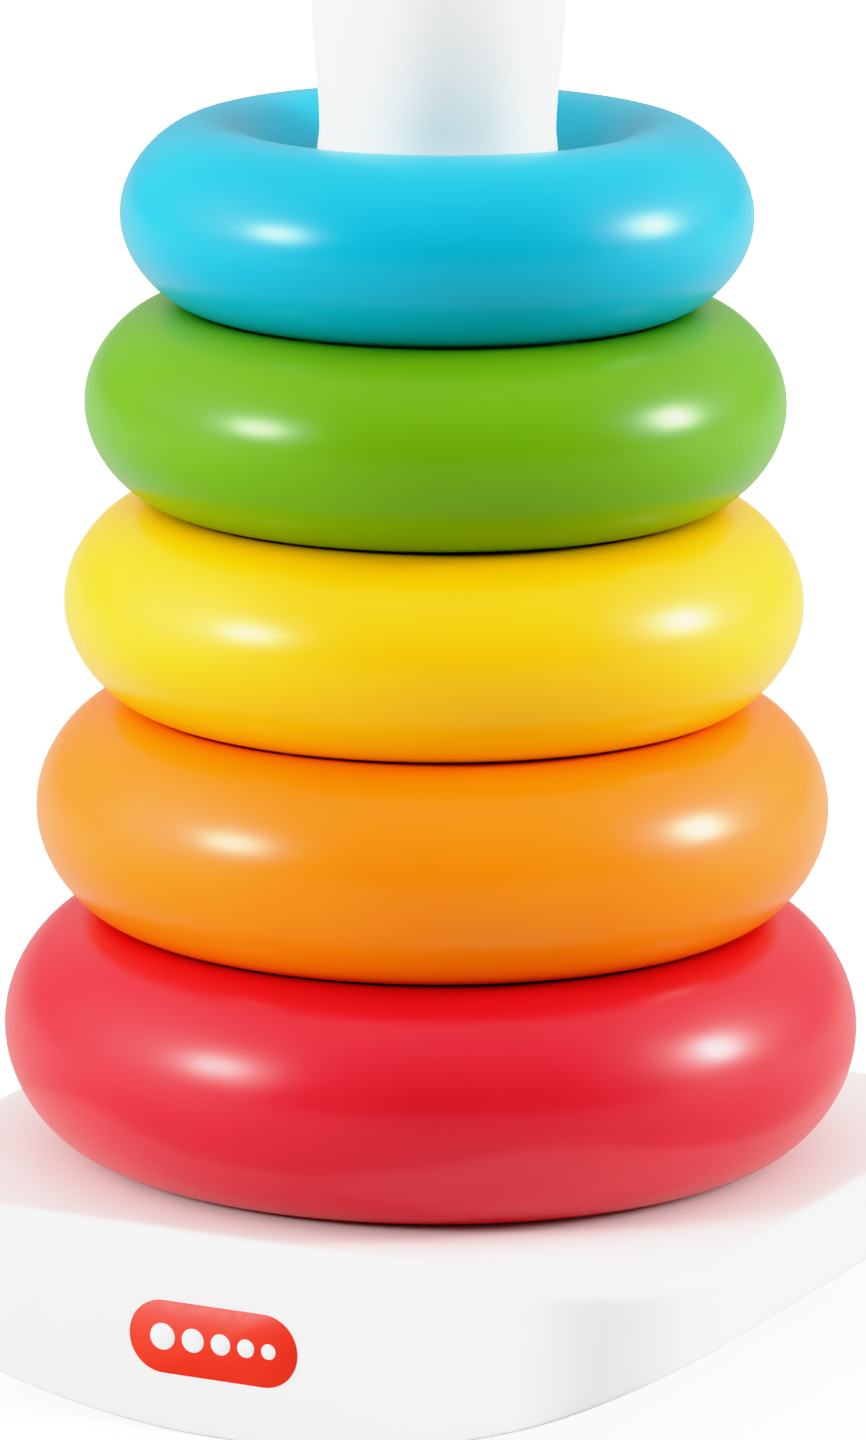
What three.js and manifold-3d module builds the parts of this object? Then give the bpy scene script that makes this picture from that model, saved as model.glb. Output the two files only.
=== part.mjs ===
// Stacking ring toy: a rocking base, a tapered post and five hollow rings that stack on the post.
//
// Millimetres, +Z up. The origin is on the floor, on the post's axis. The toy rocks along X, so the
// base's two arched faces look along -Y and +Y and its two low ends look along -X and +X.
// The base is a moulded shell, closed underneath by a curved pan that four screws hold. The post comes
// up through the shell's deck from below, and the pan clamps its flange under the deck.
import * as THREE from "three";
import { mergeVertices } from "three/addons/utils/BufferGeometryUtils.js";
import Module from "manifold-3d";

const wasm = await Module();
wasm.setup();

// ---- Driving dimensions -------------------------------------------------------------------------
const GAP = 0.3; // clearance between pieces that touch
const WALL = 2.2; // moulded wall of the base and the post
const THROUGH = 1; // how far a cutting tool runs past the face that it cuts

const BASE_WIDTH = 131; // along X
const BASE_DEPTH = 125.2; // along Y
const BASE_CORNER = 21.3; // corner radius in plan
const BASE_EDGE = 2.4; // rounding of the deck's edge
const DECK_TOP = 28.7;
const ROCKER_RADIUS = 132.5; // the arc that the toy rocks on
const ROCKER_FLAT = 12; // width of the flat that it comes to rest on
const ROCKER_STEPS = 9; // flats on each side of that one
// How far the flat cuts into the arc, so that the flat itself lies on the floor.
const ROCKER_DIP = ROCKER_RADIUS - Math.sqrt(ROCKER_RADIUS ** 2 - (ROCKER_FLAT / 2) ** 2);

const POST_FOOT_RADIUS = 32.6; // at the deck
const NECK_RADIUS = 16.5;
const NECK_HEIGHT = 145; // above the deck, as the next two are
const KNOB_RADIUS = 17.6;
const FLARE_TOP = 163.5; // where the flare reaches the knob's full radius
const DOME_START = 172; // where the knob starts to round over
const DOME_HEIGHT = 20;
const DOME_EXPONENT = 2.2; // superellipse of the dome's profile
const FLANGE_RADIUS = 38;
const FLANGE_THICKNESS = 2.4;

const KEY_WIDTH = 6; // the two lugs in the flange's edge that stop the post turning
const KEY_DEPTH = 4;

const PAN_THICKNESS = 2;
const COLLAR_RADIUS = 35; // the pan's collar that holds the flange up
const COLLAR_WALL = 1.8;
const RIB_THICKNESS = 1.6;
const RIB_HEIGHT = 6;

const SCREW_X = 46;
const SCREW_Y = 42;
const SCREW_SHANK = 1.5; // radius
const SCREW_HEAD = 3.5; // radius
const SCREW_HEAD_HEIGHT = 2.3;
const SCREW_LENGTH = 12;
const SEAT_RISE = 4; // the screw seat's underside, above the pan's outer face
const SEAT_THICKNESS = 2;
const SEAT_RADIUS = 5.6;
const SLOT_LENGTH = 4; // the cross recess in a screw's head
const SLOT_WIDTH = 0.9;
const SLOT_DEPTH = 1.3;

const RING_WALL = 2; // blow-moulded wall
const RING_CLEARANCE = 2.8; // between a ring's bore and the post, at the ring's mid-height
const RING_EXPONENT = 1.85; // superellipse of a ring's section, so it comes to a slight edge
const VENT_RADIUS = 1.2; // the blow pin's hole, in the bore

// rimWidth is the distance from a ring's crest out to its rim.
const RINGS = [
  { name: "red_ring", colour: 0xe3203a, outerRadius: 60.6, halfHeight: 16.6, rimWidth: 13.5 },
  { name: "orange_ring", colour: 0xff8f12, outerRadius: 56.1, halfHeight: 15.3, rimWidth: 13.0 },
  { name: "yellow_ring", colour: 0xffd800, outerRadius: 52.15, halfHeight: 14.4, rimWidth: 12.9 },
  { name: "green_ring", colour: 0x6cc013, outerRadius: 49.3, halfHeight: 13.95, rimWidth: 12.6 },
  { name: "blue_ring", colour: 0x2fb5d6, outerRadius: 44.35, halfHeight: 13.2, rimWidth: 12.6 },
];

const CORNER_STEPS = 8;
const ROUND_STEPS = 40; // facets round the post, its collar and its hole
const BOSS_STEPS = 16;
const RING_STEPS = 40;
const RING_SECTION_STEPS = 16;
const CAVITY_STEPS = 20;
const CAVITY_SECTION_STEPS = 8;

const DECK_UNDERSIDE = DECK_TOP - WALL;
const FLANGE_TOP = DECK_UNDERSIDE - GAP;
const FLANGE_BOTTOM = FLANGE_TOP - FLANGE_THICKNESS;

// ---- Materials ----------------------------------------------------------------------------------
const whitePlastic = new THREE.MeshStandardMaterial({ color: 0xf2f2f0, roughness: 0.4, metalness: 0 });
const steel = new THREE.MeshStandardMaterial({ color: 0xb8bcc0, roughness: 0.35, metalness: 1 });

const ringPlastic = (colour) =>
  new THREE.MeshStandardMaterial({ color: colour, roughness: 0.3, metalness: 0 });

// ---- Solids -------------------------------------------------------------------------------------
function solidOf(geometry) {
  const bare = geometry.clone();
  bare.deleteAttribute("normal");
  bare.deleteAttribute("uv");
  const merged = mergeVertices(bare, 1e-4);
  const corners = merged.index.array;
  const kept = [];
  for (let i = 0; i < corners.length; i += 3) {
    const [a, b, c] = corners.subarray(i, i + 3);
    if (a !== b && b !== c && c !== a) kept.push(a, b, c);
  }
  return new wasm.Manifold(
    new wasm.Mesh({
      numProp: 3,
      vertProperties: merged.attributes.position.array,
      triVerts: new Uint32Array(kept),
    }),
  );
}

function geometryOf(solid) {
  const { vertProperties, triVerts } = solid.getMesh();
  const geometry = new THREE.BufferGeometry();
  geometry.setAttribute("position", new THREE.BufferAttribute(new Float32Array(vertProperties), 3));
  geometry.setIndex(new THREE.BufferAttribute(new Uint32Array(triVerts), 1));
  geometry.computeVertexNormals();
  return geometry;
}

function namedMesh(name, solid, material) {
  const mesh = new THREE.Mesh(geometryOf(solid), material);
  mesh.name = name;
  return mesh;
}

// A body of revolution about Z, from a profile of [radius, height] that runs up its outside.
function turned(profile, steps) {
  const points = profile.map(([radius, height]) => new THREE.Vector2(radius, height));
  return solidOf(new THREE.LatheGeometry(points, steps).rotateX(Math.PI / 2));
}

function rod(radius, low, high, steps = BOSS_STEPS) {
  return turned(
    [
      [0, low],
      [radius, low],
      [radius, high],
      [0, high],
    ],
    steps,
  );
}

function tube(outer, inner, low, high, steps = ROUND_STEPS) {
  return rod(outer, low, high, steps).subtract(rod(inner, low - THROUGH, high + THROUGH, steps));
}

function block(width, depth, height, x, y, z) {
  return solidOf(new THREE.BoxGeometry(width, depth, height).translate(x, y, z));
}

// ---- The base's outlines ------------------------------------------------------------------------
// The base's rounded rectangle in plan, drawn in from its outer faces by inset.
function baseOutline(inset) {
  const x = BASE_WIDTH / 2 - inset;
  const y = BASE_DEPTH / 2 - inset;
  const r = BASE_CORNER - inset;
  const outline = new THREE.Shape();
  outline.absarc(x - r, y - r, r, 0, Math.PI / 2);
  outline.absarc(r - x, y - r, r, Math.PI / 2, Math.PI);
  outline.absarc(r - x, r - y, r, Math.PI, 1.5 * Math.PI);
  outline.absarc(x - r, r - y, r, 1.5 * Math.PI, 2 * Math.PI);
  outline.closePath();
  return outline;
}

// A prism over that outline between two heights, its two ends rounded by edge.
function basePrism(inset, low, high, edge = 0) {
  const geometry = new THREE.ExtrudeGeometry(baseOutline(inset), {
    depth: high - low - 2 * edge,
    curveSegments: CORNER_STEPS,
    bevelEnabled: edge > 0,
    bevelSize: edge,
    bevelThickness: edge,
    bevelOffset: -edge,
    bevelSegments: 3,
  });
  return solidOf(geometry.translate(0, 0, low + edge));
}

// The rocker arc's height at a distance x from the middle, raised by lift.
function rockerHeight(x, lift = 0) {
  return ROCKER_RADIUS - ROCKER_DIP - Math.sqrt((ROCKER_RADIUS - lift) ** 2 - x ** 2);
}

// Everything above the rocker surface, raised by lift: the flat that the toy rests on, then a row of
// narrow flats along the arc on either side of it.
function aboveRocker(lift = 0) {
  const reach = BASE_WIDTH / 2 + THROUGH;
  const side = [[ROCKER_FLAT / 2, lift]];
  for (let i = 1; i <= ROCKER_STEPS; i++) {
    const x = ROCKER_FLAT / 2 + ((reach - ROCKER_FLAT / 2) * i) / ROCKER_STEPS;
    side.push([x, rockerHeight(x, lift)]);
  }
  const arc = [...side.map(([x, z]) => [-x, z]).reverse(), ...side];
  const outline = new THREE.Shape(arc.map(([x, z]) => new THREE.Vector2(x, z)));
  outline.lineTo(reach, DECK_TOP + THROUGH);
  outline.lineTo(-reach, DECK_TOP + THROUGH);
  const depth = BASE_DEPTH + 2 * THROUGH;
  const geometry = new THREE.ExtrudeGeometry(outline, { depth, bevelEnabled: false });
  return solidOf(geometry.rotateX(Math.PI / 2).translate(0, depth / 2, 0));
}

const screwPlaces = [
  [SCREW_X, SCREW_Y],
  [-SCREW_X, SCREW_Y],
  [-SCREW_X, -SCREW_Y],
  [SCREW_X, -SCREW_Y],
];
const seatUnderside = rockerHeight(SCREW_X) + SEAT_RISE;
const seatTop = seatUnderside + SEAT_THICKNESS;
const screwTip = seatUnderside - GAP + SCREW_LENGTH;

// ---- The post -----------------------------------------------------------------------------------
// The post's outer radius at a height above the deck: a straight taper, a neck, a flare and a dome.
function postRadius(height) {
  if (height <= NECK_HEIGHT) {
    return THREE.MathUtils.lerp(POST_FOOT_RADIUS, NECK_RADIUS, height / NECK_HEIGHT);
  }
  if (height <= DOME_START) {
    const along = THREE.MathUtils.smoothstep(height, NECK_HEIGHT, FLARE_TOP);
    return THREE.MathUtils.lerp(NECK_RADIUS, KNOB_RADIUS, along);
  }
  const up = Math.min(1, (height - DOME_START) / DOME_HEIGHT);
  return KNOB_RADIUS * (1 - up ** DOME_EXPONENT) ** (1 / DOME_EXPONENT);
}

const keyPlaces = [FLANGE_RADIUS, -FLANGE_RADIUS];

function postSolid() {
  const flareSteps = 4;
  const domeSteps = 8;
  const heights = [0];
  for (let i = 0; i <= flareSteps; i++) {
    heights.push(THREE.MathUtils.lerp(NECK_HEIGHT, FLARE_TOP, i / flareSteps));
  }
  for (let i = 0; i < domeSteps; i++) {
    heights.push(DOME_START + DOME_HEIGHT * Math.sin((Math.PI / 2) * (i / domeSteps)));
  }
  const outside = heights.map((h) => [postRadius(h), DECK_TOP + h]);
  const outer = turned(
    [
      [0, FLANGE_BOTTOM],
      [FLANGE_RADIUS, FLANGE_BOTTOM],
      [FLANGE_RADIUS, FLANGE_TOP],
      [POST_FOOT_RADIUS, FLANGE_TOP],
      ...outside,
      [0, DECK_TOP + DOME_START + DOME_HEIGHT],
    ],
    ROUND_STEPS,
  );
  const bore = turned(
    [
      [0, FLANGE_BOTTOM - THROUGH],
      [POST_FOOT_RADIUS - WALL, FLANGE_BOTTOM - THROUGH],
      [POST_FOOT_RADIUS - WALL, DECK_TOP],
      [NECK_RADIUS - WALL, DECK_TOP + NECK_HEIGHT],
      [NECK_RADIUS - WALL, DECK_TOP + DOME_START],
      [(NECK_RADIUS - WALL) * 0.75, DECK_TOP + DOME_START + DOME_HEIGHT * 0.6],
      [0, DECK_TOP + DOME_START + DOME_HEIGHT - 2 * WALL],
    ],
    ROUND_STEPS / 2,
  );
  const notches = keyPlaces.map((x) =>
    block(
      KEY_DEPTH + 2 * GAP,
      KEY_WIDTH + 2 * GAP,
      FLANGE_THICKNESS + 2 * THROUGH,
      x,
      0,
      (FLANGE_TOP + FLANGE_BOTTOM) / 2,
    ),
  );
  return notches.reduce((made, notch) => made.subtract(notch), outer.subtract(bore));
}

// ---- The base -----------------------------------------------------------------------------------
function baseShell() {
  const outside = basePrism(0, -BASE_EDGE - THROUGH, DECK_TOP, BASE_EDGE).intersect(aboveRocker());
  const inside = basePrism(WALL, -THROUGH, DECK_UNDERSIDE);
  const deckHole = rod(POST_FOOT_RADIUS + GAP, DECK_UNDERSIDE - THROUGH, DECK_TOP + THROUGH, ROUND_STEPS);
  let shell = outside.subtract(inside).subtract(deckHole);
  // Pieces added under the deck reach a little into it, so that they join.
  const rooted = DECK_TOP - WALL / 2;
  const bossBottom = seatTop + GAP;
  for (const [x, y] of screwPlaces) {
    shell = shell.add(rod(3 * SCREW_SHANK, bossBottom, rooted).translate(x, y, 0));
    shell = shell.add(stiffener(x, y, rooted));
  }
  for (const x of keyPlaces) {
    const height = rooted - FLANGE_BOTTOM;
    shell = shell.add(block(KEY_DEPTH, KEY_WIDTH, height, x, 0, rooted - height / 2));
  }
  for (const [x, y] of screwPlaces) {
    const pilot = rod(SCREW_SHANK + GAP, bossBottom - THROUGH, screwTip + GAP);
    shell = shell.subtract(pilot.translate(x, y, 0));
  }
  return shell;
}

// A rib under the deck, from a screw boss in towards the post's flange.
function stiffener(x, y, top) {
  const outer = Math.hypot(x, y) - 2 * SCREW_SHANK;
  const inner = FLANGE_RADIUS + 4 * GAP;
  const middle = (outer + inner) / 2;
  const rib = block(outer - inner, RIB_THICKNESS, RIB_HEIGHT, middle, 0, top - RIB_HEIGHT / 2);
  return rib.rotate([0, 0, THREE.MathUtils.radToDeg(Math.atan2(y, x))]);
}

// The curved pan that closes the base, with four raised screw seats and the collar under the flange.
function rockerPan() {
  const outline = basePrism(WALL + GAP, -THROUGH, DECK_UNDERSIDE);
  const above = aboveRocker();
  const skin = outline.intersect(above).subtract(aboveRocker(PAN_THICKNESS));
  const collar = tube(COLLAR_RADIUS, COLLAR_RADIUS - COLLAR_WALL, -THROUGH, FLANGE_BOTTOM - GAP);
  let pan = skin.add(collar.intersect(above));
  for (const [x, y] of screwPlaces) {
    pan = pan.add(rod(SEAT_RADIUS, -THROUGH, seatTop).translate(x, y, 0).intersect(above));
  }
  for (const [x, y] of screwPlaces) {
    const well = rod(SCREW_HEAD + 2 * GAP, -THROUGH, seatUnderside);
    const hole = rod(SCREW_SHANK + GAP, -THROUGH, seatTop + THROUGH);
    pan = pan.subtract(well.add(hole).translate(x, y, 0));
  }
  return pan;
}

// A pan-head self-tapping screw, its cross recess downwards and its head GAP below the seat.
function screwSolid() {
  const top = seatUnderside - GAP;
  const bottom = top - SCREW_HEAD_HEIGHT;
  const turnedScrew = turned(
    [
      [0, bottom],
      [SCREW_HEAD * 0.6, bottom],
      [SCREW_HEAD, bottom + 0.8],
      [SCREW_HEAD, top],
      [SCREW_SHANK, top],
      [SCREW_SHANK, screwTip - 2],
      [0, screwTip],
    ],
    BOSS_STEPS,
  );
  const slotZ = bottom + SLOT_DEPTH / 2 - THROUGH / 2;
  const across = block(SLOT_LENGTH, SLOT_WIDTH, SLOT_DEPTH + THROUGH, 0, 0, slotZ);
  const along = block(SLOT_WIDTH, SLOT_LENGTH, SLOT_DEPTH + THROUGH, 0, 0, slotZ);
  return turnedScrew.subtract(across.add(along));
}

// ---- The rings ----------------------------------------------------------------------------------
// The height of a ring's surface over its mid-plane, at a radius, from its two half-widths.
function surfaceHeight(ring, radius) {
  const out = radius > ring.crestRadius;
  const share = Math.abs(radius - ring.crestRadius) / (out ? ring.rimWidth : ring.boreWidth);
  return share >= 1 ? 0 : ring.halfHeight * (1 - share ** RING_EXPONENT) ** (1 / RING_EXPONENT);
}

// How far apart the mid-planes of two rings lie when the upper rests on the lower.
function stackedSpacing(lower, upper) {
  const low = Math.max(lower.crestRadius - lower.boreWidth, upper.crestRadius - upper.boreWidth);
  const high = Math.min(lower.outerRadius, upper.outerRadius);
  const samples = 200;
  let spacing = 0;
  for (let i = 0; i <= samples; i++) {
    const radius = THREE.MathUtils.lerp(low, high, i / samples);
    const reach = surfaceHeight(lower, radius) + surfaceHeight(upper, radius);
    spacing = Math.max(spacing, reach);
  }
  return spacing + GAP;
}

// A closed ring section, drawn in by inset. Its outer half and its inner half differ in width.
function ringSection(ring, inset, steps) {
  const height = ring.halfHeight - inset;
  const signedPower = (value) => Math.sign(value) * Math.abs(value) ** (2 / RING_EXPONENT);
  const section = [];
  for (let i = 0; i <= steps; i++) {
    const angle = (2 * Math.PI * (i % steps)) / steps;
    const across = signedPower(Math.cos(angle));
    const width = (across > 0 ? ring.rimWidth : ring.boreWidth) - inset;
    section.push([ring.crestRadius + width * across, height * signedPower(Math.sin(angle))]);
  }
  return section;
}

// A hollow ring about its own mid-plane, with the small vent that the blow pin leaves in its bore.
function ringSolid(ring) {
  const outer = turned(ringSection(ring, 0, RING_SECTION_STEPS), RING_STEPS);
  const cavity = turned(ringSection(ring, RING_WALL, CAVITY_SECTION_STEPS), CAVITY_STEPS);
  const vent = rod(VENT_RADIUS, 0, ring.crestRadius, 8).rotate([-90, 0, 0]);
  return outer.subtract(cavity).subtract(vent);
}

// Works out where each ring rests, and so its bore and its section, from the deck upwards.
function placeRings() {
  const places = [];
  for (const ring of RINGS) {
    const below = places[places.length - 1];
    const crestRadius = ring.outerRadius - ring.rimWidth;
    const guess = below ? below.height + below.halfHeight + ring.halfHeight : ring.halfHeight;
    const boreWidth = crestRadius - (postRadius(guess) + RING_CLEARANCE);
    const placed = { ...ring, crestRadius, boreWidth };
    placed.height = below ? below.height + stackedSpacing(below, placed) : ring.halfHeight + GAP;
    places.push(placed);
  }
  return places;
}

// ---- The toy ------------------------------------------------------------------------------------
const toy = new THREE.Group();
toy.add(namedMesh("base_shell", baseShell(), whitePlastic));
toy.add(namedMesh("rocker_pan", rockerPan(), whitePlastic));
toy.add(namedMesh("post", postSolid(), whitePlastic));

screwPlaces.forEach(([x, y], i) => {
  const screw = namedMesh(`base_screw_${i + 1}`, screwSolid(), steel);
  screw.position.set(x, y, 0);
  toy.add(screw);
});

const rings = new THREE.Group();
rings.position.z = DECK_TOP;
for (const ring of placeRings()) {
  const mesh = namedMesh(ring.name, ringSolid(ring), ringPlastic(ring.colour));
  mesh.position.z = ring.height;
  rings.add(mesh);
}
toy.add(rings);

export default toy;
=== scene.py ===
"""Stacking ring toy: smooth moulded pieces and their plastics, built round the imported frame."""

import math

import bmesh
import bpy
from mathutils import Matrix, Vector


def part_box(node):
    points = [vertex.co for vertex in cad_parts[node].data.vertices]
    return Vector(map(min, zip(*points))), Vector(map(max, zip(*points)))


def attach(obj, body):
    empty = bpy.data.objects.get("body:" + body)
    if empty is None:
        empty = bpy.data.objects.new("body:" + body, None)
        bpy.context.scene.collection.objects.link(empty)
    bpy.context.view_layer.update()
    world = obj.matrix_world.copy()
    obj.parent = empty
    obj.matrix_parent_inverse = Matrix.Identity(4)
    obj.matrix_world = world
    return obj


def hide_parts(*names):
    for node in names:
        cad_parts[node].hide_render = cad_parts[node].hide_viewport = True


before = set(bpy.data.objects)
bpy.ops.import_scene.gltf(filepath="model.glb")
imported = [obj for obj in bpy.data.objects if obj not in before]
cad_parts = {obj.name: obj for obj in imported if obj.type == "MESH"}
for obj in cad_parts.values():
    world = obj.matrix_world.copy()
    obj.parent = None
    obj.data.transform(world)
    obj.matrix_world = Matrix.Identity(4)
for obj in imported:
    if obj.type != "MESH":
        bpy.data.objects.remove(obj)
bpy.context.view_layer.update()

MM = 0.001
SAME_PLACE = 1e-7  # points closer than this, in metres, are one point
NO_WIDTH = 1e-6  # slivers that a boolean leaves, thinner than this, are closed up
LEVEL_WITHIN = 0.01 * MM  # a CAD corner this near a ring's top is part of its crest

# ---- Sizes, in metres, that repeat the design's -------------------------------------------------
GAP = 0.3 * MM  # clearance between pieces that touch
THROUGH = 1 * MM  # how far a cutting tool runs past the face that it cuts
WALL = 2.2 * MM  # moulded wall of the base and the post

BASE_CORNER = 21.3 * MM  # corner radius in plan
BASE_EDGE = 2.4 * MM  # rounding of the deck's edge
ROCKER_RADIUS = 132.5 * MM  # the arc that the toy rocks on
ROCKER_FLAT = 12 * MM  # width of the flat that it comes to rest on
KEY_WIDTH = 6 * MM  # the two lugs under the deck that stop the post turning
KEY_DEPTH = 4 * MM
RIB_THICKNESS = 1.6 * MM
RIB_HEIGHT = 6 * MM

PAN_THICKNESS = 2 * MM
COLLAR_RADIUS = 35 * MM  # the pan's collar that holds the flange up
COLLAR_WALL = 1.8 * MM
SEAT_RADIUS = 5.6 * MM
SEAT_THICKNESS = 2 * MM

SCREW_SHANK = 1.5 * MM  # radius
SCREW_HEAD_HEIGHT = 2.3 * MM
SLOT_LENGTH = 4 * MM  # the cross recess in a screw's head
SLOT_WIDTH = 0.9 * MM
SLOT_DEPTH = 1.3 * MM

POST_FOOT_RADIUS = 32.6 * MM  # at the deck
NECK_RADIUS = 16.5 * MM
NECK_HEIGHT = 145 * MM  # above the deck, as FLARE_TOP and DOME_START are
KNOB_RADIUS = 17.6 * MM
FLARE_TOP = 163.5 * MM  # where the flare reaches the knob's full radius
DOME_START = 172 * MM  # where the knob starts to round over
DOME_EXPONENT = 2.2  # superellipse of the dome's profile
FLANGE_THICKNESS = 2.4 * MM

RING_WALL = 2 * MM
VENT_RADIUS = 1.2 * MM

# ---- Details finer than the design's ------------------------------------------------------------
BOSS_RADIUS = 3 * SCREW_SHANK
RIM_EDGE = 0.7 * MM  # rounding of the walls' lower edge
CEILING_EDGE = 1.2 * MM  # fillet between the walls and the deck's underside
PAN_EDGE = 0.4 * MM
FLANGE_EDGE = 0.4 * MM
CROWN_HEIGHT = 1.1 * MM  # how high a screw's head is domed
THREAD_ROOT = 0.78 * SCREW_SHANK
THREAD_PITCH = 1.1 * MM
THREAD_START = 0.6 * MM  # from the head
THREAD_END = 3 * MM  # from the tip
SCREW_POINT = 2 * MM
RING_SHOULDER = 0.028  # how much a ring's section is drawn in from an ellipse at its shoulders

OUTER_ROWS = 12  # up the outside of the walls
INNER_ROWS = 6  # up the inside
ROD_STEPS = 48
COLLAR_STEPS = 96
POST_STEPS = 128
TAPER_STEPS = 40  # up the post, as the next two are
FLARE_STEPS = 24
DOME_STEPS = 24
RING_STEPS = 168
RING_SECTION_STEPS = 72
CAVITY_STEPS = 72
CAVITY_SECTION_STEPS = 28
VENT_STEPS = 24
DOT_STEPS = 40

# ---- Places read from the frame -----------------------------------------------------------------
HALF_X, HALF_Y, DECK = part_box("base_shell")[1]
FLANGE_RADIUS, POST_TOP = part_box("post")[1].yz
FLANGE_TOP = DECK - WALL - GAP
RINGS = ["red", "orange", "yellow", "green", "blue"]

SCREWS = [name for name in sorted(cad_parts) if name.startswith("base_screw")]
SCREW_LOW, SCREW_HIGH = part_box(SCREWS[0])
SCREW_HEAD = (SCREW_HIGH.x - SCREW_LOW.x) / 2
SEAT_UNDERSIDE = SCREW_LOW.z + SCREW_HEAD_HEIGHT + GAP
SEAT_TOP = SEAT_UNDERSIDE + SEAT_THICKNESS


def middle_of(node):
    """The (x, y) place of the middle of a node's box."""
    low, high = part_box(node)
    return (low.x + high.x) / 2, (low.y + high.y) / 2


SCREW_PLACES = [middle_of(name) for name in SCREWS]


# ---- Mesh helpers -------------------------------------------------------------------------------
def added(name, data):
    """A new object in the scene for a mesh, a lamp or a camera."""
    made = bpy.data.objects.new(name, data)
    bpy.context.scene.collection.objects.link(made)
    return made


def piece(name, mesh, body, material, replaced=()):
    """An object for a finished mesh, riding on its body in place of its CAD nodes."""
    made = added(name, mesh)
    mesh.materials.clear()
    mesh.materials.append(material)
    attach(made, body)
    if replaced:
        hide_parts(*replaced)


def smooth(mesh, angle=35):
    """Smooth shading, with edges sharper than angle kept crisp."""
    mesh.polygons.foreach_set("use_smooth", [True] * len(mesh.polygons))
    mesh.set_sharp_from_angle(angle=math.radians(angle))
    mesh.update()


def mesh_from(bm, name):
    """The bmesh as a mesh; the bmesh itself is freed."""
    mesh = bpy.data.meshes.new(name)
    bm.to_mesh(mesh)
    bm.free()
    return mesh


def loops_mesh(name, loops, closed):
    """A mesh through a row of equal loops of points; closed joins the last loop to the first.

    An open row ends in one point at each end, given as a loop whose points are all the same.
    """
    bm = bmesh.new()
    count = len(loops[0])
    rows = [[bm.verts.new(point) for point in loop] for loop in loops]
    following = rows[1:] + rows[:1] if closed else rows[1:]
    for low, high in zip(rows, following):
        for i in range(count):
            j = (i + 1) % count
            bm.faces.new((low[i], low[j], high[j], high[i]))
    bmesh.ops.remove_doubles(bm, verts=bm.verts, dist=SAME_PLACE)
    bmesh.ops.dissolve_degenerate(bm, edges=bm.edges, dist=SAME_PLACE)
    bmesh.ops.recalc_face_normals(bm, faces=bm.faces)
    return mesh_from(bm, name)


def circle(radius, height, centre, steps):
    """Points on a circle about an upright axis; height is a number, or a function of the point's x."""
    loop = []
    for i in range(steps):
        angle = 2 * math.pi * i / steps
        x = centre[0] + radius * math.cos(angle)
        y = centre[1] + radius * math.sin(angle)
        loop.append((x, y, height(x) if callable(height) else height))
    return loop


def turned(name, profile, steps, centre=(0, 0), closed=False):
    """A body of revolution about an upright axis, from (radius, height) points."""
    return loops_mesh(name, [circle(radius, height, centre, steps) for radius, height in profile], closed)


def rod(radius, low, high, centre=(0, 0), steps=ROD_STEPS):
    """An upright cylinder; low can be a function of x, as in circle."""
    return turned("rod", [(0, low), (radius, low), (radius, high), (0, high)], steps, centre)


def block(size, centre, turn=0.0):
    """A box, turned about its own upright axis."""
    bm = bmesh.new()
    place = Matrix.Translation(centre) @ Matrix.Rotation(turn, 4, "Z") @ Matrix.Diagonal((*size, 1))
    bmesh.ops.create_cube(bm, size=1, matrix=place)
    return mesh_from(bm, "block")


def combined(mesh, tools, operation):
    """The mesh after each tool in turn is joined to it or cut from it, without slivers of no width."""
    body = added("combined", mesh)
    helpers = [added("tool", tool) for tool in tools]
    for helper in helpers:
        step = body.modifiers.new("step", "BOOLEAN")
        step.operation = operation
        step.solver = "EXACT"
        step.object = helper
    graph = bpy.context.evaluated_depsgraph_get()
    made = bpy.data.meshes.new_from_object(body.evaluated_get(graph), depsgraph=graph)
    for extra in [body, *helpers]:
        bpy.data.objects.remove(extra)
    bm = bmesh.new()
    bm.from_mesh(made)
    many_sided = [face for face in bm.faces if len(face.verts) > 4]
    bmesh.ops.triangulate(bm, faces=many_sided, ngon_method="BEAUTY")
    bmesh.ops.dissolve_degenerate(bm, edges=bm.edges, dist=NO_WIDTH)
    bm.to_mesh(made)
    bm.free()
    return made


# ---- Materials ----------------------------------------------------------------------------------
def feed(tree, socket, value):
    """Gives a node's socket a value of its own, or another node's output."""
    if isinstance(value, bpy.types.NodeSocket):
        tree.links.new(value, socket)
    else:
        socket.default_value = value


def arithmetic(tree, operation, *values):
    """A math node's output; each value is a number or another node's output."""
    node = tree.nodes.new("ShaderNodeMath")
    node.operation = operation
    for socket, value in zip(node.inputs, values):
        feed(tree, socket, value)
    return node.outputs["Value"]


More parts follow.
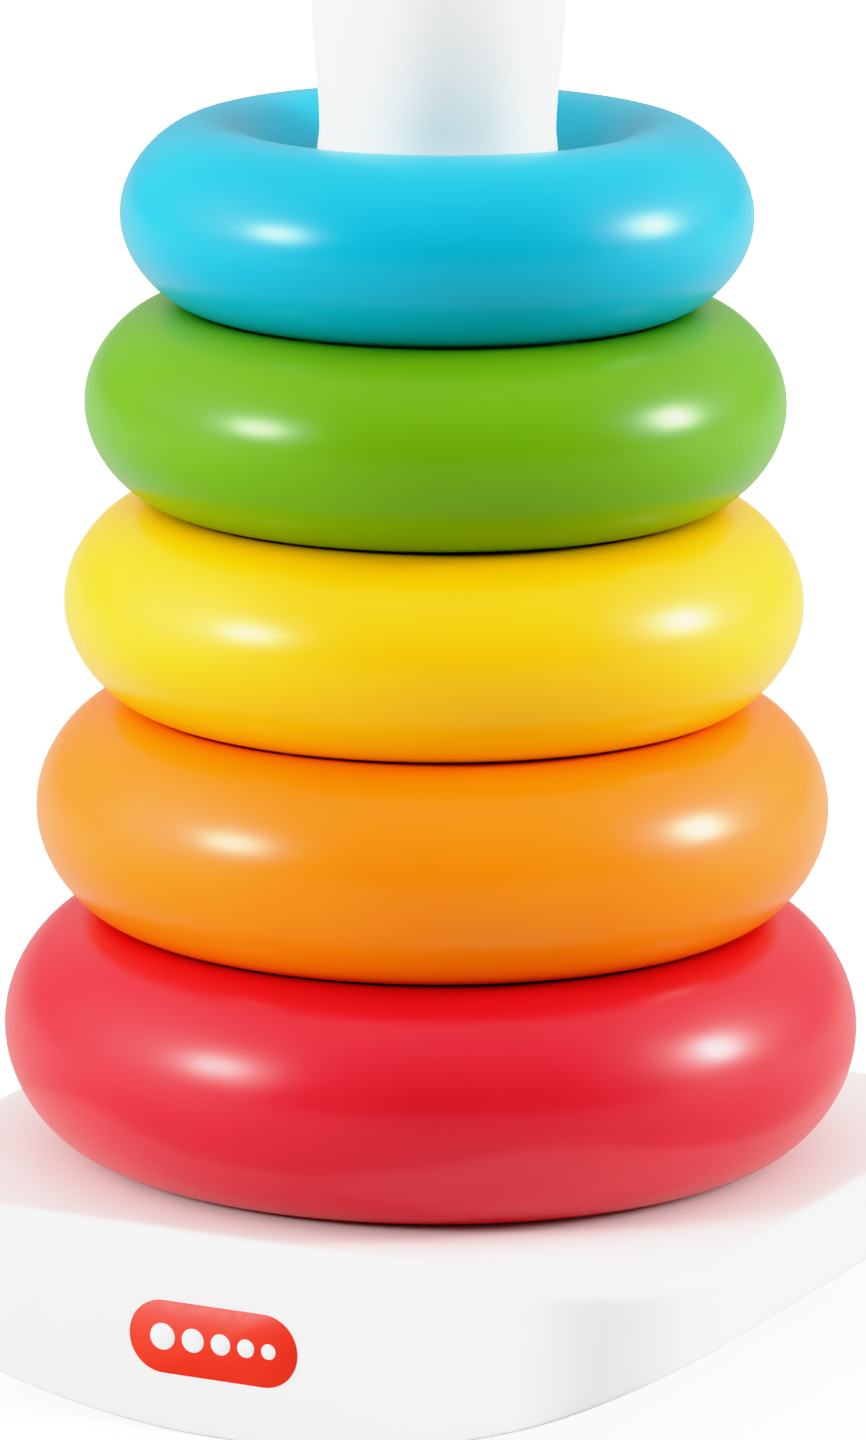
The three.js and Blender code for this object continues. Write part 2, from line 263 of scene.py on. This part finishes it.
class Nodes:
    """A material's node tree, with the Principled shader ready and short calls to add to it."""

    def __init__(self, name):
        self.material = bpy.data.materials.new(name)
        self.material.use_nodes = True
        self.tree = self.material.node_tree
        self.shader = self.tree.nodes["Principled BSDF"]
        self.place = self.tree.nodes.new("ShaderNodeTexCoord").outputs["Object"]

    def set(self, name, value):
        """One of the shader's inputs: a value, or another node's output."""
        feed(self.tree, self.shader.inputs[name], value)

    def noise(self, size, detail=2.0, roughness=0.5):
        """Noise from 0 to 1, with features about size metres across."""
        node = self.tree.nodes.new("ShaderNodeTexNoise")
        node.inputs["Scale"].default_value = 1 / size
        node.inputs["Detail"].default_value = detail
        node.inputs["Roughness"].default_value = roughness
        feed(self.tree, node.inputs["Vector"], self.place)
        return node.outputs["Fac"]

    def spread(self, noise, low, high):
        """The middle of a noise's range, stretched to run from low to high with eased ends."""
        node = self.tree.nodes.new("ShaderNodeMapRange")
        node.interpolation_type = "SMOOTHSTEP"
        node.inputs["From Min"].default_value = 0.3
        node.inputs["From Max"].default_value = 0.7
        node.inputs["To Min"].default_value = low
        node.inputs["To Max"].default_value = high
        feed(self.tree, node.inputs["Value"], noise)
        return node.outputs["Result"]

    def set_colour(self, noise, first, second):
        """A base colour that drifts with the noise from the first colour to the second."""
        node = self.tree.nodes.new("ShaderNodeMix")
        node.data_type = "RGBA"
        node.inputs["A"].default_value = (*first, 1)
        node.inputs["B"].default_value = (*second, 1)
        feed(self.tree, node.inputs["Factor"], self.spread(noise, 0, 1))
        self.set("Base Color", node.outputs["Result"])

    def set_bump(self, noise, height):
        """A surface as uneven as the noise, to that height in metres."""
        node = self.tree.nodes.new("ShaderNodeBump")
        node.inputs["Strength"].default_value = 1
        node.inputs["Distance"].default_value = height
        feed(self.tree, node.inputs["Height"], noise)
        self.set("Normal", node.outputs["Normal"])


def scaled(colour, share):
    """The colour made lighter or darker, with no channel above 1."""
    return tuple(min(1, channel * share) for channel in colour)


def ring_plastic(name, colour):
    """Blow-moulded polyethylene: waxy gloss, faintly uneven in depth of colour and in smoothness."""
    nodes = Nodes(name)
    nodes.set_colour(nodes.noise(35 * MM), scaled(colour, 0.965), scaled(colour, 1.03))
    nodes.set("Roughness", nodes.spread(nodes.noise(9 * MM, detail=3), 0.278, 0.302))
    nodes.set_bump(nodes.noise(7 * MM, detail=1), 0.012 * MM)
    nodes.set("IOR", 1.5)
    nodes.set("Specular IOR Level", 0.53)
    return nodes.material


def white_plastic(name, colour):
    """Injection-moulded white plastic with a fine satin texture."""
    nodes = Nodes(name)
    nodes.set_colour(nodes.noise(45 * MM), scaled(colour, 0.985), scaled(colour, 1.01))
    nodes.set("Roughness", nodes.spread(nodes.noise(6 * MM, detail=5), 0.44, 0.52))
    nodes.set_bump(nodes.noise(0.35 * MM, detail=3, roughness=0.6), 0.0016 * MM)
    nodes.set("IOR", 1.5)
    nodes.set("Specular IOR Level", 0.25)
    return nodes.material


def print_ink(name, colour):
    """A thin layer of printing ink, faintly uneven."""
    nodes = Nodes(name)
    nodes.set_colour(nodes.noise(1.6 * MM, detail=4), scaled(colour, 0.97), scaled(colour, 1.02))
    nodes.set("Roughness", nodes.spread(nodes.noise(0.8 * MM), 0.42, 0.5))
    nodes.set_bump(nodes.noise(0.25 * MM), 0.001 * MM)
    return nodes.material


def plated_steel(name):
    """Zinc-plated steel: a dull bluish grey, unevenly worn, with a fine grain."""
    nodes = Nodes(name)
    nodes.set_colour(nodes.noise(1.2 * MM, detail=4), (0.42, 0.43, 0.45), (0.58, 0.59, 0.6))
    nodes.set("Roughness", nodes.spread(nodes.noise(0.6 * MM, detail=3), 0.28, 0.42))
    nodes.set_bump(nodes.noise(0.3 * MM, detail=3), 0.003 * MM)
    nodes.set("Metallic", 1)
    return nodes.material


RING_COLOURS = {
    "red": (0.63, 0.015, 0.028),
    "orange": (1.0, 0.222, 0.0003),
    "yellow": (1.0, 0.50, 0.0003),
    "green": (0.125, 0.36, 0.0003),
    "blue": (0.0003, 0.40, 0.57),
}
WHITE = (0.84, 0.84, 0.835)
WARM_WHITE = (0.865, 0.83, 0.812)
BADGE_RED = (0.87, 0.03, 0.012)
BADGE_WHITE = (0.9, 0.9, 0.89)


# ---- The base -----------------------------------------------------------------------------------
def sagitta(x, lift=0.0):
    """The height above the rocker arc's lowest point, at x, of the arc that runs lift inside it."""
    return ROCKER_RADIUS - math.sqrt((ROCKER_RADIUS - lift) ** 2 - x ** 2)


def rocker_height(x, lift=0.0):
    """The height above the floor, x from the middle, of the underside or of the curve lift inside it."""
    return max(lift, sagitta(x, lift) - sagitta(ROCKER_FLAT / 2))


def plan(inset, corner_steps=14, side_steps=22):
    """The base's rounded rectangle as (x, y) points, drawn in by inset from its outer faces."""
    reach_x = HALF_X - BASE_CORNER
    reach_y = HALF_Y - BASE_CORNER
    radius = BASE_CORNER - inset
    corners = [(reach_x, reach_y), (-reach_x, reach_y), (-reach_x, -reach_y), (reach_x, -reach_y)]
    points = []
    for quarter, (cx, cy) in enumerate(corners):
        for i in range(corner_steps + 1):
            angle = math.pi / 2 * (quarter + i / corner_steps)
            points.append((cx + radius * math.cos(angle), cy + radius * math.sin(angle)))
        end_x, end_y = points[-1]
        nx, ny = corners[(quarter + 1) % 4]
        angle = math.pi / 2 * (quarter + 1)
        to_x = nx + radius * math.cos(angle)
        to_y = ny + radius * math.sin(angle)
        for i in range(1, side_steps):
            share = i / side_steps
            points.append((end_x + (to_x - end_x) * share, end_y + (to_y - end_y) * share))
    return points


def circle_under(points, radius):
    """For each point, the point in the same direction on a circle round the middle."""
    return [(radius * x / math.hypot(x, y), radius * y / math.hypot(x, y)) for x, y in points]


def between(first, second, share):
    """A loop that share of the way from the first loop of (x, y) points to the second."""
    return [(a[0] + (b[0] - a[0]) * share, a[1] + (b[1] - a[1]) * share) for a, b in zip(first, second)]


def quarter_turn(steps):
    """Evenly spaced angles from nought to a right angle, with both ends."""
    return [math.pi / 2 * i / steps for i in range(steps + 1)]


def shell_loops():
    """The shell's surface as loops: the deck, its edge, the wall, the rim and back up inside."""
    hole = POST_FOOT_RADIUS + GAP
    deck_low = DECK - WALL
    loops = []

    def level(points, height):
        loops.append([(x, y, height) for x, y in points])

    def along_underside(points, rise):
        loops.append([(x, y, rocker_height(x) + rise) for x, y in points])

    edge = plan(BASE_EDGE)
    for share in (0, 0.02, 0.12, 0.3, 0.5, 0.7, 0.86, 0.96):
        level(between(circle_under(edge, hole), edge, share), DECK)
    for angle in quarter_turn(8):
        level(plan(BASE_EDGE * (1 - math.sin(angle))), DECK - BASE_EDGE * (1 - math.cos(angle)))
    top = DECK - BASE_EDGE
    for row in range(1, OUTER_ROWS):
        loops.append([(x, y, top + (rocker_height(x) + RIM_EDGE - top) * row / OUTER_ROWS)
                      for x, y in plan(0)])
    for angle in quarter_turn(5):
        along_underside(plan(RIM_EDGE * (1 - math.cos(angle))), RIM_EDGE * (1 - math.sin(angle)))
    low = RIM_EDGE / 2
    for angle in quarter_turn(3):
        along_underside(plan(WALL - low * (1 - math.sin(angle))), low * (1 - math.cos(angle)))
    top = deck_low - CEILING_EDGE
    for row in range(1, INNER_ROWS):
        loops.append([(x, y, rocker_height(x) + low + (top - rocker_height(x) - low) * row / INNER_ROWS)
                      for x, y in plan(WALL)])
    for angle in quarter_turn(4):
        inset = WALL + CEILING_EDGE * (1 - math.cos(angle))
        level(plan(inset), deck_low - CEILING_EDGE * (1 - math.sin(angle)))
    ceiling = plan(WALL + CEILING_EDGE)
    for share in (0.1, 0.4, 0.7, 0.95, 1):
        level(between(ceiling, circle_under(ceiling, hole), share), deck_low)
    return loops


def stiffener(x, y, top):
    """A rib under the deck, from a screw boss in towards the post's flange."""
    outer = math.hypot(x, y) - 2 * SCREW_SHANK
    inner = FLANGE_RADIUS + 4 * GAP
    middle = (outer + inner) / 2
    turn = math.atan2(y, x)
    centre = (middle * math.cos(turn), middle * math.sin(turn), top - RIB_HEIGHT / 2)
    return block((outer - inner, RIB_THICKNESS, RIB_HEIGHT), centre, turn)


def base_shell(material):
    """The deck and walls, with a boss and a rib at each screw and two keys for the post's flange."""
    mesh = loops_mesh("base_shell", shell_loops(), closed=True)
    rooted = DECK - WALL / 2
    bosses = [rod(BOSS_RADIUS, SEAT_TOP + GAP, rooted, place) for place in SCREW_PLACES]
    ribs = [stiffener(x, y, rooted) for x, y in SCREW_PLACES]
    key_height = rooted - (FLANGE_TOP - FLANGE_THICKNESS)
    keys = [block((KEY_DEPTH, KEY_WIDTH, key_height), (side * FLANGE_RADIUS, 0, rooted - key_height / 2))
            for side in (1, -1)]
    mesh = combined(mesh, [*bosses, *ribs, *keys], "UNION")
    pilots = [rod(SCREW_SHANK + GAP, SEAT_TOP - THROUGH, SCREW_HIGH.z + GAP, place)
              for place in SCREW_PLACES]
    mesh = combined(mesh, pilots, "DIFFERENCE")
    smooth(mesh)
    piece("base_shell_moulding", mesh, "base", material, ["base_shell"])


def pan_loops():
    """The pan's plate: a thin sheet that follows the rocker's curve, its edge a little rounded."""
    inset = WALL + GAP
    rim = plan(inset + PAN_EDGE)
    middle = [(0, 0)] * len(rim)
    shares = (0, 0.15, 0.3, 0.45, 0.6, 0.75, 0.9, 1)
    loops = []

    def along_curve(points, lift, rise):
        loops.append([(x, y, rocker_height(x, lift) + rise) for x, y in points])

    for share in shares:
        along_curve(between(middle, rim, share), 0, 0)
    for angle in quarter_turn(3)[1:]:
        along_curve(plan(inset + PAN_EDGE * (1 - math.sin(angle))), 0, PAN_EDGE * (1 - math.cos(angle)))
    for angle in quarter_turn(3):
        edge = plan(inset + PAN_EDGE * (1 - math.cos(angle)))
        along_curve(edge, PAN_THICKNESS, -PAN_EDGE * (1 - math.sin(angle)))
    for share in reversed(shares[:-1]):
        along_curve(between(middle, rim, share), PAN_THICKNESS, 0)
    return loops


def rocker_pan(material):
    """The curved pan, with a raised seat and a well for each screw and the collar under the flange."""
    def rooted(x):
        return rocker_height(x) + PAN_THICKNESS / 2

    mesh = loops_mesh("rocker_pan", pan_loops(), closed=False)
    collar_top = FLANGE_TOP - FLANGE_THICKNESS - GAP
    collar_inner = COLLAR_RADIUS - COLLAR_WALL
    collar_profile = [(collar_inner, collar_top), (COLLAR_RADIUS, collar_top),
                      (COLLAR_RADIUS, rooted), (collar_inner, rooted)]
    collar = turned("collar", collar_profile, COLLAR_STEPS, closed=True)
    seats = [rod(SEAT_RADIUS, rooted, SEAT_TOP, place) for place in SCREW_PLACES]
    mesh = combined(mesh, seats, "UNION")
    wells = [rod(SCREW_HEAD + 2 * GAP, -THROUGH, SEAT_UNDERSIDE, place) for place in SCREW_PLACES]
    holes = [rod(SCREW_SHANK + GAP, -THROUGH, SEAT_TOP + THROUGH, place) for place in SCREW_PLACES]
    mesh = combined(mesh, [*wells, *holes], "DIFFERENCE")
    mesh = combined(mesh, [collar], "UNION")
    smooth(mesh)
    piece("rocker_pan_moulding", mesh, "base", material, ["rocker_pan"])


def screw_profile():
    """A pan-head screw's outline, head down, as (radius, height) points."""
    head_low = SCREW_LOW.z
    head_top = head_low + SCREW_HEAD_HEIGHT
    tip = SCREW_HIGH.z
    crown = [(SCREW_HEAD * math.sin(angle), head_low + CROWN_HEIGHT * (1 - math.cos(angle)))
             for angle in quarter_turn(8)]
    thread = []
    height = head_top + THREAD_START
    while height < tip - THREAD_END:
        thread += [(THREAD_ROOT, height), (SCREW_SHANK, height + THREAD_PITCH / 2)]
        height += THREAD_PITCH
    return [*crown, (SCREW_HEAD, head_top), (THREAD_ROOT, head_top), *thread,
            (THREAD_ROOT, tip - SCREW_POINT), (0, tip)]


def base_screws(material):
    """The four screws, heads down in their wells, each with a cross recess."""
    for name, place in zip(SCREWS, SCREW_PLACES):
        centre = (*place, SCREW_LOW.z)
        cross = [block((SLOT_LENGTH, SLOT_WIDTH, 2 * SLOT_DEPTH), centre),
                 block((SLOT_WIDTH, SLOT_LENGTH, 2 * SLOT_DEPTH), centre)]
        mesh = combined(turned(name, screw_profile(), ROD_STEPS, place), cross, "DIFFERENCE")
        smooth(mesh)
        piece(name + "_turned", mesh, "base", material, [name])


# ---- The post -----------------------------------------------------------------------------------
def post_radius(height):
    """The post's outer radius at a height above the deck."""
    if height <= NECK_HEIGHT:
        return POST_FOOT_RADIUS + (NECK_RADIUS - POST_FOOT_RADIUS) * height / NECK_HEIGHT
    if height <= DOME_START:
        along = min(1, (height - NECK_HEIGHT) / (FLARE_TOP - NECK_HEIGHT))
        return NECK_RADIUS + (KNOB_RADIUS - NECK_RADIUS) * along * along * (3 - 2 * along)
    up = min(1, (height - DOME_START) / (POST_TOP - DECK - DOME_START))
    return KNOB_RADIUS * (1 - up ** DOME_EXPONENT) ** (1 / DOME_EXPONENT)


def post_profile():
    """The post's section from its inner dome down, round the flange and up its outside."""
    dome = POST_TOP - DECK - DOME_START
    bore = NECK_RADIUS - WALL
    inside = [(bore * math.cos(angle), DECK + DOME_START + (dome - WALL) * math.sin(angle))
              for angle in reversed(quarter_turn(10))]
    inside += [(bore, DECK + NECK_HEIGHT), (POST_FOOT_RADIUS - WALL, DECK)]
    flange_low = FLANGE_TOP - FLANGE_THICKNESS
    flange = [(POST_FOOT_RADIUS - WALL, flange_low),
              (FLANGE_RADIUS - FLANGE_EDGE, flange_low),
              (FLANGE_RADIUS, flange_low + FLANGE_EDGE),
              (FLANGE_RADIUS, FLANGE_TOP - FLANGE_EDGE),
              (FLANGE_RADIUS - FLANGE_EDGE, FLANGE_TOP),
              (POST_FOOT_RADIUS + 2 * FLANGE_EDGE, FLANGE_TOP),
              (POST_FOOT_RADIUS, FLANGE_TOP + 2 * FLANGE_EDGE)]
    heights = [NECK_HEIGHT * i / TAPER_STEPS for i in range(TAPER_STEPS)]
    heights += [NECK_HEIGHT + (DOME_START - NECK_HEIGHT) * i / FLARE_STEPS for i in range(FLARE_STEPS)]
    heights += [DOME_START + dome * math.sin(angle) for angle in quarter_turn(DOME_STEPS)]
    return [*inside, *flange, *((post_radius(height), DECK + height) for height in heights)]


def post(material):
    """The hollow tapered column, its flange notched for the two keys under the deck."""
    notch = (KEY_DEPTH + 2 * GAP, KEY_WIDTH + 2 * GAP, FLANGE_THICKNESS + 2 * THROUGH)
    height = FLANGE_TOP - FLANGE_THICKNESS / 2
    notches = [block(notch, (side * FLANGE_RADIUS, 0, height)) for side in (1, -1)]
    mesh = combined(turned("post", post_profile(), POST_STEPS), notches, "DIFFERENCE")
    smooth(mesh)
    piece("post_moulding", mesh, "base", material, ["post"])


# ---- The rings ----------------------------------------------------------------------------------
def ring_shape(node):
    """A ring's crest radius, rim width, bore width, half-height and mid-height, off its CAD node."""
    low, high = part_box(node)
    corners = [v.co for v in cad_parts[node].data.vertices]
    crest = max(math.hypot(v.x, v.y) for v in corners if v.z > high.z - LEVEL_WITHIN)
    bore = min(math.hypot(v.x, v.y) for v in corners)
    return crest, high.x - crest, crest - bore, (high.z - low.z) / 2, (high.z + low.z) / 2


def ring_section(shape, inset, steps):
    """A ring's section as (radius, height) points, drawn in by inset."""
    crest, rim_width, bore_width, half_height, middle = shape
    section = []
    for i in range(steps):
        angle = 2 * math.pi * i / steps
        width = (rim_width if math.cos(angle) > 0 else bore_width) - inset
        drawn = 1 - RING_SHOULDER * math.sin(2 * angle) ** 2
        section.append((crest + width * drawn * math.cos(angle),
                        middle + (half_height - inset) * drawn * math.sin(angle)))
    return section


def ring(colour, material):
    """A hollow ring, with the small vent that the blow pin leaves in its bore."""
    node = colour + "_ring"
    shape = ring_shape(node)
    crest, *_, middle = shape
    outer = turned(node, ring_section(shape, 0, RING_SECTION_STEPS), RING_STEPS, closed=True)
    hollow = ring_section(shape, RING_WALL, CAVITY_SECTION_STEPS)
    cavity = turned("cavity", hollow, CAVITY_STEPS, closed=True)
    vent = rod(VENT_RADIUS, 0, crest, steps=VENT_STEPS)
    vent.transform(Matrix.Translation((0, 0, middle)) @ Matrix.Rotation(-math.pi / 2, 4, "X"))
    mesh = combined(outer, [cavity, vent], "DIFFERENCE")
    smooth(mesh)
    piece(node + "_moulding", mesh, colour, material, [node])


# ---- The plain badge on the front ---------------------------------------------------------------
BADGE_CENTRE = (-2.1 * MM, 13.7 * MM)
BADGE_HALF_LENGTH = 13 * MM
BADGE_HALF_HEIGHT = 5.2 * MM
BADGE_SUNK = 0.1 * MM
BADGE_PROUD = 0.12 * MM
DOT_PROUD = 0.06 * MM
DOT_RADII = [1.9 * MM, 1.7 * MM, 1.5 * MM, 1.3 * MM, 1.1 * MM]
DOT_SPACE = 1.1 * MM
INK_EDGE = 0.05 * MM


def arc(centre, radius, start, turn, steps):
    """Points (x, z) along an arc from start through turn, with both ends."""
    angles = [start + turn * i / steps for i in range(steps + 1)]
    return [(centre[0] + radius * math.cos(angle), centre[1] + radius * math.sin(angle))
            for angle in angles]


def ink_on_front(name, outline, back, front, ink):
    """A thin plate of ink with a softened edge; back and front are distances out of the front face."""
    middle_x = sum(x for x, _ in outline) / len(outline)
    middle_z = sum(z for _, z in outline) / len(outline)

    def drawn_in(value, middle):
        return value - math.copysign(min(INK_EDGE, abs(value - middle)), value - middle)

    def level(points, out):
        return [(x, -HALF_Y - out, z) for x, z in points]

    middle = [(middle_x, middle_z)] * len(outline)
    inner = [(drawn_in(x, middle_x), drawn_in(z, middle_z)) for x, z in outline]
    loops = [level(middle, back), level(outline, back), level(outline, front - INK_EDGE),
             level(inner, front), level(middle, front)]
    mesh = loops_mesh(name, loops, closed=False)
    smooth(mesh, angle=50)
    piece(name, mesh, "base", ink)


def badge(red, white):
    """A plain pill with a row of dots that shrink like the rings: it carries no mark of any maker."""
    middle_x, middle_z = BADGE_CENTRE
    straight = BADGE_HALF_LENGTH - BADGE_HALF_HEIGHT
    pill = []
    for side, start in ((1, -math.pi / 2), (-1, math.pi / 2)):
        pill += arc((middle_x + side * straight, middle_z), BADGE_HALF_HEIGHT, start, math.pi, 24)
    ink_on_front("front_badge", pill, -BADGE_SUNK, BADGE_PROUD, red)
    row = 2 * sum(DOT_RADII) + DOT_SPACE * (len(DOT_RADII) - 1)
    across = middle_x - row / 2
    for i, radius in enumerate(DOT_RADII):
        dot = arc((across + radius, middle_z), radius, 0, 2 * math.pi, DOT_STEPS)[:-1]
        ink_on_front(f"badge_dot_{i + 1}", dot, BADGE_PROUD / 2, BADGE_PROUD + DOT_PROUD, white)
        across += 2 * radius + DOT_SPACE


# ---- Stage, light and camera --------------------------------------------------------------------
FULL_WHITE = 2.2  # the light at which the film shows pure white
FLOOR_REACH = 12  # half the floor's width, in metres
FLOOR_GLOW = 0.7 * FULL_WHITE  # light that the floor gives off, for the camera alone

# The photo's camera, as fitted to the outlines of the rings, the post and the base.
VIEW_AZIMUTH = math.radians(26.2)
VIEW_ELEVATION = math.radians(12.7)
VIEW_ROLL = math.radians(0.46)
VIEW_DISTANCE = 1.3386
VIEW_HEIGHT = DECK + 60.66 * MM
VIEW_REACH = 50  # how far it sees, in metres: past the floor's corners
LENS = 236.7

AMBIENT = 0.22
GLOWS = [
    (-90, 16, 7, 4.4, 0.08),  # left
    (98, 16, 7, 4.4, 0.08),  # right
    (180, 50, 3, 0.5, 1),  # behind
    (-10, 75, 3, 0.6, 1),  # overhead
]
FILM_RESPONSE = [(0.02, 0.004), (0.04, 0.015), (0.07, 0.052), (0.12, 0.117), (0.3, 0.3), (0.6, 0.6),
                 (0.8, 0.785), (1.0, 0.88), (1.4, 0.925), (1.8, 0.95), (FULL_WHITE, 1.003)]


def direction(azimuth, elevation):
    """The unit vector towards azimuth, counted from the front (-Y) towards +X, and elevation."""
    return Vector((math.sin(azimuth) * math.cos(elevation),
                   -math.cos(azimuth) * math.cos(elevation),
                   math.sin(elevation)))


def beside_camera(azimuth, elevation):
    """The unit vector towards an azimuth counted from the camera's, and an elevation, in degrees."""
    return direction(VIEW_AZIMUTH + math.radians(azimuth), math.radians(elevation))


def seen_from(back, distance):
    """The place and turn of a camera or lamp that looks at the toy's middle from that direction."""
    place = Vector((0, 0, VIEW_HEIGHT)) + back * distance
    return Matrix.Translation(place) @ back.to_track_quat("Z", "Y").to_matrix().to_4x4()


def add_camera():
    """The photo's camera, with its slight roll."""
    data = bpy.data.cameras.new("camera")
    data.lens = LENS
    data.clip_end = VIEW_REACH
    camera = added("camera", data)
    facing = seen_from(direction(VIEW_AZIMUTH, VIEW_ELEVATION), VIEW_DISTANCE)
    camera.matrix_world = facing @ Matrix.Rotation(VIEW_ROLL, 4, "Z")
    bpy.context.scene.camera = camera


def softbox(name, azimuth, elevation, distance, width, height, power):
    """A rectangular area light that faces the toy, placed by its direction from the camera's."""
    data = bpy.data.lights.new(name, "AREA")
    data.shape = "RECTANGLE"
    data.size = width
    data.size_y = height
    data.energy = power
    added(name, data).matrix_world = seen_from(beside_camera(azimuth, elevation), distance)


def add_world(ambient, glows):
    """A white studio: ambient light all round, and soft glows placed by their direction from the camera's.

    A glow is (azimuth, elevation, sharpness, strength, gloss) and fades as a power of the cosine from its
    middle; gloss is the share of it that is left in reflections, as behind a polarising filter. What
    the camera sees of the world itself is plain white.
    """
    world = bpy.data.worlds.new("studio")
    world.use_nodes = True
    tree = world.node_tree
    seen = tree.nodes.new("ShaderNodeTexCoord").outputs["Generated"]
    rays = tree.nodes.new("ShaderNodeLightPath")
    level = ambient
    for azimuth, elevation, sharpness, strength, gloss in glows:
        facing = tree.nodes.new("ShaderNodeVectorMath")
        facing.operation = "DOT_PRODUCT"
        facing.inputs[1].default_value = beside_camera(azimuth, elevation)
        feed(tree, facing.inputs[0], seen)
        ahead = arithmetic(tree, "MAXIMUM", facing.outputs["Value"], 0.0)
        faded = arithmetic(tree, "POWER", ahead, sharpness)
        passed = arithmetic(tree, "MULTIPLY_ADD", rays.outputs["Is Glossy Ray"], strength * (gloss - 1),
                            strength)
        level = arithmetic(tree, "MULTIPLY_ADD", faded, passed, level)
    shown = tree.nodes.new("ShaderNodeMapRange")
    shown.inputs["To Max"].default_value = FULL_WHITE
    feed(tree, shown.inputs["To Min"], level)
    feed(tree, shown.inputs["Value"], rays.outputs["Is Camera Ray"])
    background = tree.nodes["Background"]
    background.inputs["Color"].default_value = (1, 1, 1, 1)
    feed(tree, background.inputs["Strength"], shown.outputs["Result"])
    bpy.context.scene.world = world


def add_floor():
    """A wide pale floor that the camera sees as white, and that looks duller in the toy's gloss."""
    nodes = Nodes("pale_sweep")
    nodes.set_colour(nodes.noise(300 * MM), (0.47, 0.47, 0.47), (0.49, 0.49, 0.49))
    nodes.set("Roughness", 0.9)
    nodes.set("Specular IOR Level", 0.1)
    nodes.set("Emission Color", (1, 1, 1, 1))
    seen = nodes.tree.nodes.new("ShaderNodeLightPath").outputs["Is Camera Ray"]
    nodes.set("Emission Strength", arithmetic(nodes.tree, "MULTIPLY", seen, FLOOR_GLOW))
    bm = bmesh.new()
    bmesh.ops.create_grid(bm, x_segments=8, y_segments=8, size=FLOOR_REACH)
    floor = added("floor", mesh_from(bm, "floor"))
    floor.data.materials.append(nodes.material)


def add_film_response(points):
    """Plain display colours on a film's curve: deeper darks, and a shoulder that keeps white detail."""
    view = bpy.context.scene.view_settings
    view.view_transform = "Standard"
    view.use_curve_mapping = True
    mapping = view.curve_mapping
    mapping.clip_max_x, mapping.clip_max_y = points[-1]
    curve = mapping.curves[3]
    curve.points[-1].location = points[-1]
    for light, shown in points[:-1]:
        curve.points.new(light, shown)
    mapping.update()


# ---- Everything ---------------------------------------------------------------------------------
base_shell(white_plastic("white_base", WHITE))
rocker_pan(white_plastic("white_pan", scaled(WHITE, 0.98)))
post(white_plastic("white_post", WARM_WHITE))
base_screws(plated_steel("plated_screws"))
for colour in RINGS:
    ring(colour, ring_plastic(colour + "_plastic", RING_COLOURS[colour]))
badge(print_ink("badge_red", BADGE_RED), print_ink("badge_white", BADGE_WHITE))

add_camera()
add_world(AMBIENT, GLOWS)
softbox("left_softbox", azimuth=-61, elevation=21.5, distance=1.6, width=0.38, height=0.32, power=12.6)
softbox("right_softbox", azimuth=87, elevation=21, distance=1.6, width=0.34, height=0.42, power=13.8)
add_floor()
add_film_response(FILM_RESPONSE)
